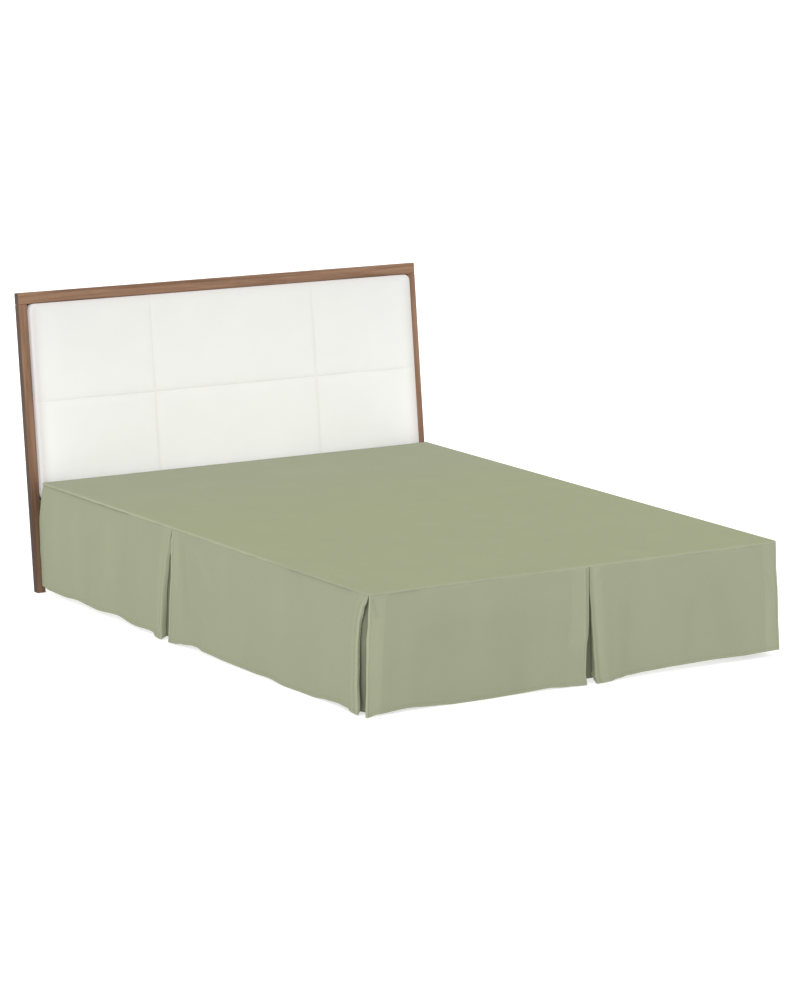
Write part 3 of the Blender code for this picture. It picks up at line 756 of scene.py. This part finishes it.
def drop_relief(drop, station, along, edges, down, high):
    """Height in millimetres and lightness of a drop's face at one place, from all that shapes it. Most of
    the lightness is painted light and shade.
    """
    free = smooth(down / 0.12)
    rise, light = crease_relief(drop.creases, station, down)
    rise *= free
    reliefs = []
    for at in (0, 1):
        if is_folded(drop, at):
            reliefs.append(fold_relief(abs(along - edges[at]), down, drop.doubled[at]))
    if drop.name == "drop_foot_left":
        reliefs.append(rolled_strip((drop.end - along) / MM, down))
    reliefs.append(hem_relief(high))
    for more, paler in reliefs:
        rise += more
        light += paler
    pucker = uneven(station, high / MM * 0.4, 13, drop.seed + 5) * math.exp(-(high / 0.030))
    top_pucker = uneven(station, high / MM * 0.2, 16, drop.seed + 6) * math.exp(-down / 0.05)
    sway = 1.1 * uneven(station, down * 170, 150, drop.seed)
    sway += 0.35 * uneven(station, down * 120, 48, drop.seed + 1)
    rise += 0.45 * pucker + 0.25 * top_pucker + sway * free
    light += 0.012 * uneven(station, down * 80, 90, drop.seed + 2)
    # Painted shade along the drop's top edge under the deck's lip; the same table also pushes the cloth in
    # there.
    shade = eased(DROP_SEAM_PAINTED_SHADE[drop.side.name], along / MM)
    light -= shade * math.exp(-down / SEAM_SHADE_DEPTH)
    rise -= 4 * shade * math.exp(-(((down - SEAM_SHADE_DEPTH) / 0.010) ** 2))
    return rise, light


def face_points(drop, edges, down):
    """One level of a drop's face: places along and out, height, lightness and travel on the cloth."""
    total = drop.hem[-1][0]
    first = edges[0] + fold_radius(down) * is_folded(drop, 0)
    last = edges[1] - fold_radius(down) * is_folded(drop, 1)
    points = []
    for station in drop_stations(total):
        along = first + (last - first) * station / total
        out = -DROP_DEPTH + eased(drop.hem, station, 1) * MM * down
        for kind, distance in ((drop.kinds[0], along - drop.start), (drop.kinds[1], drop.end - along)):
            if kind.startswith("corner"):
                out -= corner_fall(distance) * (1 - down) ** 2
        lift = eased(drop.hem, station, 2) * MM
        rise, light = drop_relief(drop, station, along, edges, down, (DROP_TOP - lift) * (1 - down))
        pull = seam_pull(station * MM, drop.seed) * math.exp(-down / SEAM_SHADE_DEPTH) * 0.2
        height = DROP_TOP + (lift - DROP_TOP) * down - pull
        points.append((along, out + rise * MM, height, light, station * MM))
    return points


def return_points(drop, at, edge, beside, down):
    """One level of the folded edge and the return at a drop's end, from the face's point beside it."""
    kind = drop.kinds[at]
    radius = fold_radius(down)
    room = beside[1] + RETURN_DEPTH_LIMIT
    length = RETURN_FLAT
    if kind.endswith("open"):
        back = eased(drop.ends[at], down) * MM
        length = min(max(back - RETURN_ROOM, RETURN_SHORTEST), RETURN_OPEN[kind])
        angle = fold_angle(room, radius, length, 0.0, OPEN_FOLD)
    elif kind.endswith("tucked"):
        angle = FLAT_FOLD
    else:
        angle = fold_angle(room, radius, length, OPEN_FOLD, FLAT_FOLD)
    away = (-1, 1)[at]
    points = []
    for along, out, share in fold_points(edge, beside[1], away, radius, angle, length):
        travel = beside[4] + away * (abs(along - edge) + share * length)
        light = beside[3]
        if share:
            light -= RETURN_SHADE.get(kind, 0.0) * (0.5 + share) * (0.6 + 0.8 * down)
        points.append((along, out, beside[2] + RETURN_LIFT * down * share, light, travel))
    return points


def hang_drop(drop):
    """Hangs one drop, level by level: its face, then its folded edges and returns."""
    bm = bmesh.new()
    flat = {}
    tone_and_painted_light = {}
    grid = []
    for down in drop_levels():
        edges = (drop.start + eased(drop.ends[0], down) * MM, drop.end - eased(drop.ends[1], down) * MM)
        face = face_points(drop, edges, down)
        level = list(face)
        if is_folded(drop, 0):
            level = return_points(drop, 0, edges[0], face[0], down)[::-1] + level
        if is_folded(drop, 1):
            level += return_points(drop, 1, edges[1], face[-1], down)
        row = []
        for along, out, height, light, travel in level:
            x, y = side_place(drop.side, along, out)
            vert = bm.verts.new((x, y, max(height, CLOTH / 2)))
            flat[vert] = (travel, height)
            tone_and_painted_light[vert] = 1.0 + light
            row.append(vert)
        grid.append(row)
    span_faces(bm, grid)
    piece = add_cloth(drop.name + "_cloth", bm, flat, tone_and_painted_light, DROP_CLOTH)
    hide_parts(drop.name)


LEFT_PLEAT = HALF_LENGTH - SIDE_PLEAT_Y
FOOT_PLEAT = HALF_WIDTH + FOOT_PLEAT_X
RIGHT_PLEAT = HALF_LENGTH + SIDE_PLEAT_Y

# One drop: its side, where it starts and ends along it, its hem, how far each end stands back and
# of what kind it is, the doubled cloth beside each end, and its creases. Doubled cloth has a width
# at the top and at the hem, the share of the drop where it fades, the width of the fold's bead and
# the share where that starts.
Drop = namedtuple("Drop", "name side start end hem ends kinds doubled creases seed")
BAND = (50, 50, 1.2, 5, 0.0)
DROPS = (
    Drop("drop_left_head", LEFT_SIDE, 0.0, LEFT_PLEAT, LEFT_HEAD_HEM,
         (HEAD_END, SIDE_PLEAT_WIDE), ("head", "side pleat open"),
         (BAND, (52, 24, 1.2, 6, 0.0)), LEFT_HEAD_CREASES, 21),
    Drop("drop_left_foot", LEFT_SIDE, LEFT_PLEAT, BED_LENGTH, LEFT_FOOT_HEM,
         (SIDE_PLEAT_NARROW, NEAR_CORNER_SIDE), ("pleat", "corner open"),
         ((42, 38, 0.45, 7, 0.0), (34, 34, 1.2, 11, 0.0)), LEFT_FOOT_CREASES, 33),
    Drop("drop_foot_left", FOOT_SIDE, 0.0, FOOT_PLEAT, FOOT_LEFT_HEM,
         (NEAR_CORNER_FOOT, FOOT_PLEAT_LEFT), ("corner tucked", "pleat"),
         ((62, 56, 1.2, 5, 0.0), (66, 66, 0.6, 4, 0.55)), FOOT_LEFT_CREASES, 45),
    Drop("drop_foot_right", FOOT_SIDE, FOOT_PLEAT, BED_WIDTH, FOOT_RIGHT_HEM,
         (FOOT_PLEAT_RIGHT, FAR_CORNER_FOOT), ("foot pleat open", "corner tucked"),
         ((50, 48, 1.2, 7, 1.1), (52, 52, 1.2, 5, 0.0)), FOOT_RIGHT_CREASES, 57),
    Drop("drop_right_foot", RIGHT_SIDE, 0.0, RIGHT_PLEAT, RIGHT_FOOT_HEM,
         (FAR_CORNER_SIDE, SIDE_PLEAT_NARROW), ("corner open", "pleat"),
         (BAND, BAND), RIGHT_FOOT_CREASES, 69),
    Drop("drop_right_head", RIGHT_SIDE, RIGHT_PLEAT, BED_LENGTH, RIGHT_HEAD_HEM,
         (SIDE_PLEAT_WIDE, HEAD_END), ("side pleat open", "head"),
         (BAND, BAND), RIGHT_HEAD_CREASES, 81),
)
DROP_CLOTH = sage_cloth_finish("sage_green_drop_weave", DROP_SAGE_WITH_PAINTED_SHADE, DROP_SAGE_WITH_PAINTED_SHADE)
for drop in DROPS:
    hang_drop(drop)

# Underlays: strips of the same cloth sewn behind the pleats and round the near corners, so
# that no gap shows where two drops meet. They hang in the drops' shade, which is also painted
# into their colour as painted shade, and end a little higher than the drops.

UNDERLAY_DEPTH = 0.0068
SEWN_DEPTH = DROP_DEPTH + CLOTH + TOUCH
UNDERLAY_WIDTH = 0.160
EDGE_CLEARANCE = 0.002
PLEAT_PAINTED_SHADE = 0.50
CORNER_PAINTED_SHADE = 0.67
UNDERLAY_STEP = 0.008


def hang_underlay(name, plan_at, length, hem_lift, shade, seed):
    """Hangs a strip whose plan point at each place on it comes from plan_at(travel, down, sway)."""
    bm = bmesh.new()
    flat = {}
    tone_and_painted_light = {}
    grid = []
    for height in steps_between(DROP_TOP, hem_lift, UNDERLAY_STEP):
        down = (DROP_TOP - height) / (DROP_TOP - hem_lift)
        row = []
        for travel in steps_between(0.0, length, UNDERLAY_STEP):
            sway = 0.0004 * uneven(travel, height, 0.05, seed) * smooth(down / 0.2)
            x, y = plan_at(travel, down, sway)
            vert = bm.verts.new((x, y, height))
            flat[vert] = (travel, height)
            tone_and_painted_light[vert] = shade + 0.03 * uneven(travel, height, 0.06, seed + 1)
            row.append(vert)
        grid.append(row)
    span_faces(bm, grid)
    piece = add_cloth(name + "_cloth", bm, flat, tone_and_painted_light, DROP_CLOTH)
    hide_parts(name)


def straight_plan(side, centre):
    """Plan of a strip that hangs flat behind a pleat."""
    def place(travel, down, sway):
        return side_place(side, centre - UNDERLAY_WIDTH / 2 + travel, -UNDERLAY_DEPTH + sway)

    return place


def corner_strip(hand):
    """Plan of a strip that goes round a corner of the base, and its length."""
    centre = UNDERLAY_DEPTH + CLOTH / 2 + EDGE_CLEARANCE + BASE_CORNER
    centre_x = HALF_WIDTH - centre
    centre_y = -(HALF_LENGTH - centre)
    straight = UNDERLAY_WIDTH / 2
    bend = centre - UNDERLAY_DEPTH
    length = 2 * straight + bend * math.pi / 2

    def place(travel, down, sway):
        depth = UNDERLAY_DEPTH + (SEWN_DEPTH - UNDERLAY_DEPTH) * (1 - smooth(down / 0.1)) - sway
        radius = centre - depth
        if travel < straight:
            x, y = centre_x + radius, centre_y + straight - travel
        elif travel > length - straight:
            x, y = centre_x - (travel - (length - straight)), centre_y - radius
        else:
            angle = -(travel - straight) / bend
            x, y = centre_x + radius * math.cos(angle), centre_y + radius * math.sin(angle)
        return hand * x, y

    return place, length


for underlay, side, pleat, lift, seed in (("underlay_left", LEFT_SIDE, LEFT_PLEAT, 0.012, 101),
                                          ("underlay_foot", FOOT_SIDE, FOOT_PLEAT, 0.016, 102),
                                          ("underlay_right", RIGHT_SIDE, RIGHT_PLEAT, 0.012, 103)):
    hang_underlay(underlay, straight_plan(side, pleat), UNDERLAY_WIDTH, lift, PLEAT_PAINTED_SHADE, seed)
for underlay, hand, lift in (("underlay_near_corner", -1, 0.007), ("underlay_far_corner", 1, 0.027)):
    corner_place, corner_length = corner_strip(hand)
    hang_underlay(underlay, corner_place, corner_length, lift, CORNER_PAINTED_SHADE, 104 + hand)

# Headboard frame: two posts, a top rail, a low rail and a thin back board of brown wood, sawn
# straight and glued, with the grain along each piece. Two plain blocks tie it to the box. The
# whole frame leans back by about eight degrees.

LEAN = math.radians(7.9)
WOOD_DARK = (0.158, 0.083, 0.047, 1.0)
WOOD_PALE = (0.300, 0.175, 0.109, 1.0)
OUTER_SIDE_PAINTED_SHADE = 0.30
LOW_POST_PAINTED_SHADOW = 0.66
GRAIN_LONG = 2.2
GRAIN_CROSS = 60.0


def sideways(tree, vector):
    """How far a vector reaches to either side."""
    made = add_node(tree, "ShaderNodeMath", operation="ABSOLUTE")
    tree.links.new(parted(tree, vector)["X"], made.inputs[0])
    return made.outputs[0]


def wood_finish(name, along, low_painted_shadow):
    """Satin brown wood. The grain runs along X, or up the headboard's slope.

    Painted shade darkens the outer sides, and a painted shadow darkens the wood below the deck's height by a
    given factor.
    """
    made, tree, shader = new_finish(name, 0.52)
    shader.inputs["Specular IOR Level"].default_value = 0.22
    place = add_node(tree, "ShaderNodeTexCoord")
    turn = add_node(tree, "ShaderNodeMapping", {"Rotation": (LEAN, 0.0, 0.0)})
    tree.links.new(place.outputs["Object"], turn.inputs["Vector"])
    scale = [GRAIN_LONG if way == along else GRAIN_CROSS for way in "XYZ"]
    stretch = add_node(tree, "ShaderNodeMapping", {"Scale": scale})
    tree.links.new(turn.outputs["Vector"], stretch.inputs["Vector"])
    growth = speckled(tree, stretch.outputs["Vector"], 1.0, 5.0, Roughness=0.62, Distortion=0.7)
    pores = speckled(tree, stretch.outputs["Vector"], 9.0, 2.0, Roughness=0.5)
    ramp = add_node(tree, "ShaderNodeValToRGB")
    for stop, position, wood in zip(ramp.color_ramp.elements, (0.30, 0.66), (WOOD_DARK, WOOD_PALE)):
        stop.position = position
        stop.color = wood
    tree.links.new(growth, ramp.inputs["Fac"])
    colour = toned(tree, ramp.outputs["Color"], pores, 0.10)
    # Painted shade on the outer sides, then a painted shadow below the deck's height.
    outer = sideways(tree, place.outputs["Normal"])
    colour = scaled(tree, colour, graded(tree, outer, 0.5, 0.95, 1.0, OUTER_SIDE_PAINTED_SHADE))
    height = parted(tree, place.outputs["Object"])["Z"]
    colour = scaled(tree, colour, graded(tree, height, 0.30, 0.44, low_painted_shadow, 1.0))
    tree.links.new(colour, shader.inputs["Base Color"])
    raise_surface(tree, shader, pores, strength=0.25, height=0.0004)
    return made


def give_finish(node, finish):
    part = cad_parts[node]
    part.data.materials.clear()
    part.data.materials.append(finish)


wood_along = wood_finish("brown_wood_lengthwise", "X", 1.0)
for node in ("top_rail", "low_rail", "spacer_left", "spacer_right"):
    give_finish(node, wood_along)
give_finish("back_board", wood_finish("brown_wood_upright", "Z", 1.0))
# The posts carry a painted shadow below the deck's height.
wood_posts_painted_shadow = wood_finish("brown_wood_posts_painted_shadow", "Z", LOW_POST_PAINTED_SHADOW)
for node in ("post_left", "post_right"):
    give_finish(node, wood_posts_painted_shadow)

# Headboard pad: foam on a board, covered in white upholstery cloth that is pulled tight over
# its edges. Two upright seams and a level one divide its face into six panels, and the cover
# dips softly beside each seam.

HEADBOARD_Y = 0.985
HEADBOARD_WIDTH = 1.622
HEADBOARD_TOP = 1.0206
POST_WIDTH = 0.032
TOP_RAIL_HEIGHT = 0.039
LOW_RAIL_TOP = 0.315
BOARD_FACE = 0.0194
PAD_GAP = 0.0008
PAD_WIDTH = HEADBOARD_WIDTH - 2 * POST_WIDTH - 2 * PAD_GAP
PAD_BOTTOM = LOW_RAIL_TOP + PAD_GAP
PAD_TOP = HEADBOARD_TOP - TOP_RAIL_HEIGHT - PAD_GAP
PAD_BACK = BOARD_FACE - TOUCH
PAD_CORNER = 0.022
PAD_SHOULDER = 0.018
PAD_CROWN = 0.0190
PAD_EDGE_RISE = 0.0110
PAD_SEAMS_X = [-PAD_WIDTH / 2 + PAD_WIDTH * share for share in (0.303, 0.728)]
PAD_SEAM_Z = 0.647
PAD_STEP = 0.012
SEAM_WIDTH = 0.0065
SEAM_SHOWS = 0.24
SEAM_CHANNEL = 0.0010
SEAM_LINE = 0.0006
SEAM_WANDER = 0.0012
# Painted shade over the pad's border and on its side walls.
BORDER_PAINTED_SHADE = 0.85
SIDE_BORDER = 0.024
END_BORDER = 0.013
WALL_PAINTED_SHADE = 0.79
PAD_WHITE = (0.835, 0.835, 0.81, 1.0)
SEAM_AND_SHADE_GREY = (0.60, 0.565, 0.55, 1.0)


def pad_finish():
    """White upholstery with painted light and shade: darker towards its top and its sides, and painted shade
    on its side walls.

    The attribute seam brings up the faint warm line of a seam, and painted shade over the pad's soft border.
    """
    made, tree, shader = new_finish("white_upholstery", 0.62)
    shader.inputs["Sheen Weight"].default_value = 0.05
    weave = add_node(tree, "ShaderNodeUVMap", uv_map="weave").outputs["UV"]
    colour = toned(tree, PAD_WHITE, speckled(tree, weave, 9.0, 4.0), 0.012)
    height = parted(tree, weave)["Y"]
    # Painted light and shade: lighter low down and in the middle, darker towards the top and the sides.
    colour = scaled(tree, colour, graded(tree, height, 0.38, 0.95, 1.09, 0.87))
    colour = scaled(tree, colour, graded(tree, sideways(tree, weave), 0.15, 0.65, 1.027, 0.973))
    colour = blended(tree, marked(tree, "seam"), colour, SEAM_AND_SHADE_GREY)
    # Painted shade on the side walls.
    wall = sideways(tree, add_node(tree, "ShaderNodeTexCoord").outputs["Normal"])
    colour = scaled(tree, colour, graded(tree, wall, 0.45, 0.95, 1.0, WALL_PAINTED_SHADE))
    tree.links.new(colour, shader.inputs["Base Color"])
    raise_weave(tree, shader, weave, thread=0.0010, height=0.0003)
    return made


def pad_places(low, high, seams):
    """Places across the pad: close together at the edges and beside the seams."""
    edge = [0.0, 0.0003, 0.001, 0.002, 0.0035, 0.0055, 0.008, 0.011, 0.0145, PAD_SHOULDER]
    beside = [-0.030, -0.018, -0.011, -0.007, -0.0045, -0.003, -0.002, -0.001, 0.0]
    beside += [-place for place in reversed(beside[:-1])]
    places = [low + place for place in edge]
    for seam in seams:
        places += steps_between(places[-1], seam + beside[0], PAD_STEP)[1:-1]
        places += [seam + place for place in beside]
    places += steps_between(places[-1], high - PAD_SHOULDER, PAD_STEP)[1:-1]
    return places + [high - place for place in reversed(edge)]


def seam_dip(distance, along, seed):
    """How deep the cover dips at a distance from a seam: a soft channel and a narrow line."""
    puckers = 1 + 0.25 * uneven(along, 0.0, 0.02, seed)
    channel = SEAM_CHANNEL * math.exp(-((distance / 0.014) ** 2)) * puckers
    line = SEAM_LINE * math.exp(-((distance / 0.0022) ** 2))
    return channel + line


def pad_face(x, z):
    """How far the pad's face stands forward, and how much of a seam's line and of the border's painted shade
    shows there.
    """
    side = PAD_WIDTH / 2 - abs(x)
    end = min(z - PAD_BOTTOM, PAD_TOP - z)
    inward = min(side / PAD_SHOULDER, end / PAD_SHOULDER, 1.0)
    swell = (1 - (1 - inward) ** 2.4) ** 0.6
    dip = 0.0
    shown = BORDER_PAINTED_SHADE * max(math.exp(-((side / SIDE_BORDER) ** 2)), math.exp(-((end / END_BORDER) ** 2)))
    for at, along, seed in ((x - PAD_SEAMS_X[0], z, 1), (x - PAD_SEAMS_X[1], z, 2), (z - PAD_SEAM_Z, x, 3)):
        beside = at - SEAM_WANDER * uneven(along, 0.0, 0.25, seed)
        dip = max(dip, seam_dip(beside, along, seed))
        faint = max(0.65 + 0.5 * uneven(along, 0.0, 0.12, seed + 10), 0.15)
        shown = max(shown, SEAM_SHOWS * math.exp(-((beside / SEAM_WIDTH) ** 2)) * faint)
    lie = 0.0008 * uneven(x, z, 0.30, 4) + 0.0003 * uneven(x, z, 0.09, 5) - 0.0006
    return PAD_EDGE_RISE * (1 - swell) + (PAD_CROWN + lie - dip) * swell, shown


def round_pad_corner(x, z):
    """Draws a point near a corner of the pad in, so that the corner becomes round."""
    middle = (PAD_TOP + PAD_BOTTOM) / 2
    corner_x = math.copysign(PAD_WIDTH / 2 - PAD_CORNER, x)
    corner_z = PAD_TOP - PAD_CORNER if z > middle else PAD_BOTTOM + PAD_CORNER
    past_x = x - corner_x
    past_z = z - corner_z
    if past_x * x <= 0 or past_z * (corner_z - middle) <= 0:
        return x, z
    reach = max(abs(past_x), abs(past_z)) / math.hypot(past_x, past_z)
    return corner_x + past_x * reach, corner_z + past_z * reach


def leaned(x, y, z):
    """A point of the headboard's own frame, in the bed's."""
    back = HEADBOARD_Y + y * math.cos(LEAN) + z * math.sin(LEAN)
    return (x, back, z * math.cos(LEAN) - y * math.sin(LEAN))


def upholster_pad():
    bm = bmesh.new()
    weave = {}
    seams = {}
    grid = []
    for z in pad_places(PAD_BOTTOM, PAD_TOP, [PAD_SEAM_Z]):
        row = []
        for x in pad_places(-PAD_WIDTH / 2, PAD_WIDTH / 2, PAD_SEAMS_X):
            forward, seam = pad_face(x, z)
            around_x, around_z = round_pad_corner(x, z)
            vert = bm.verts.new(leaned(around_x, -forward, around_z))
            weave[vert] = (x, z)
            seams[vert] = seam
            row.append(vert)
        grid.append(row)
    span_faces(bm, grid)
    rim = grid[0] + [row[-1] for row in grid[1:-1]] + grid[-1][::-1] + [row[0] for row in grid[-2:0:-1]]
    turn = Matrix.Rotation(LEAN, 3, "X")
    behind = []
    for vert in rim:
        local = turn @ (vert.co - Vector((0.0, HEADBOARD_Y, 0.0)))
        back = bm.verts.new(leaned(local.x, PAD_BACK, local.z))
        weave[back] = (weave[vert][0], weave[vert][1] + 0.02)
        seams[back] = seams[vert]
        behind.append(back)
    for k in range(len(rim)):
        bm.faces.new((rim[k - 1], rim[k], behind[k], behind[k - 1]))
    bm.faces.new(behind)
    mark_points(bm, weave, "seam", seams)
    return add_piece("headboard_pad", bm, pad_finish(), 60)


headboard_pad = upholster_pad()
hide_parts("pad")

# Room: a wide pale floor, even studio light from all round with a large soft light from the left
# and a weaker one from the camera's side, and the camera where the photo was taken from.

FLOOR_HALF = 90.0
CAMERA_PLACE = (-7.6014, -11.0893, 3.1000)
CAMERA_YAW = math.radians(34.4211)
CAMERA_PITCH = math.radians(11.2846)
CAMERA_ROLL = math.radians(1.06)
CAMERA_LENS = 149.897
CAMERA_REACH = 300.0
FLOOR_GREY = (0.68, 0.68, 0.68, 1.0)
FLOOR_GLOW = 0.60
STUDIO_WHITE = (1.0, 1.0, 1.0, 1.0)

# Each light's name, strength, spread and turn in degrees
LIGHTS = (("key_light", 0.8, 40, (50, 0, -62)), ("fill_light", 0.4, 60, (74, 0, -30)))


def floor_finish():
    made, tree, shader = new_finish("pale_studio_floor", 0.8)
    place = add_node(tree, "ShaderNodeTexCoord").outputs["Object"]
    patches = speckled(tree, place, 1.5, 2.0)
    tree.links.new(toned(tree, FLOOR_GREY, patches, 0.004), shader.inputs["Base Color"])
    shader.inputs["Emission Color"].default_value = STUDIO_WHITE
    shader.inputs["Emission Strength"].default_value = FLOOR_GLOW
    return made


def lay_floor():
    mesh = bpy.data.meshes.new("studio_floor")
    corners = [(FLOOR_HALF * x, FLOOR_HALF * y, 0) for x, y in ((-1, -1), (1, -1), (1, 1), (-1, 1))]
    mesh.from_pydata(corners, [], [(0, 1, 2, 3)])
    mesh.materials.append(floor_finish())
    floor = bpy.data.objects.new("studio_floor", mesh)
    bpy.context.scene.collection.objects.link(floor)


def set_lights():
    world = bpy.data.worlds.new("studio_world")
    world.use_nodes = True
    world.node_tree.nodes["Background"].inputs["Color"].default_value = STUDIO_WHITE
    world.node_tree.nodes["Background"].inputs["Strength"].default_value = 1.0
    bpy.context.scene.world = world
    for name, energy, angle, turn in LIGHTS:
        light = bpy.data.lights.new(name, "SUN")
        light.energy = energy
        light.angle = math.radians(angle)
        lamp = bpy.data.objects.new(name, light)
        lamp.rotation_euler = [math.radians(part) for part in turn]
        bpy.context.scene.collection.objects.link(lamp)


def set_camera():
    level = math.cos(CAMERA_PITCH)
    ahead = Vector((math.sin(CAMERA_YAW) * level, math.cos(CAMERA_YAW) * level, -math.sin(CAMERA_PITCH)))
    right = Vector((math.cos(CAMERA_YAW), -math.sin(CAMERA_YAW), 0.0))
    up = right.cross(ahead)
    rolled_right = right * math.cos(CAMERA_ROLL) + up * math.sin(CAMERA_ROLL)
    rolled_up = up * math.cos(CAMERA_ROLL) - right * math.sin(CAMERA_ROLL)
    lens = bpy.data.cameras.new("photo_camera")
    lens.lens = CAMERA_LENS
    lens.sensor_width = 36.0
    lens.clip_end = CAMERA_REACH
    camera = bpy.data.objects.new("photo_camera", lens)
    pose = Matrix((rolled_right, rolled_up, -ahead)).transposed().to_4x4()
    pose.translation = CAMERA_PLACE
    camera.matrix_world = pose
    bpy.context.scene.collection.objects.link(camera)
    bpy.context.scene.camera = camera


lay_floor()
set_lights()
set_camera()
bpy.context.scene.view_settings.view_transform = "Standard"
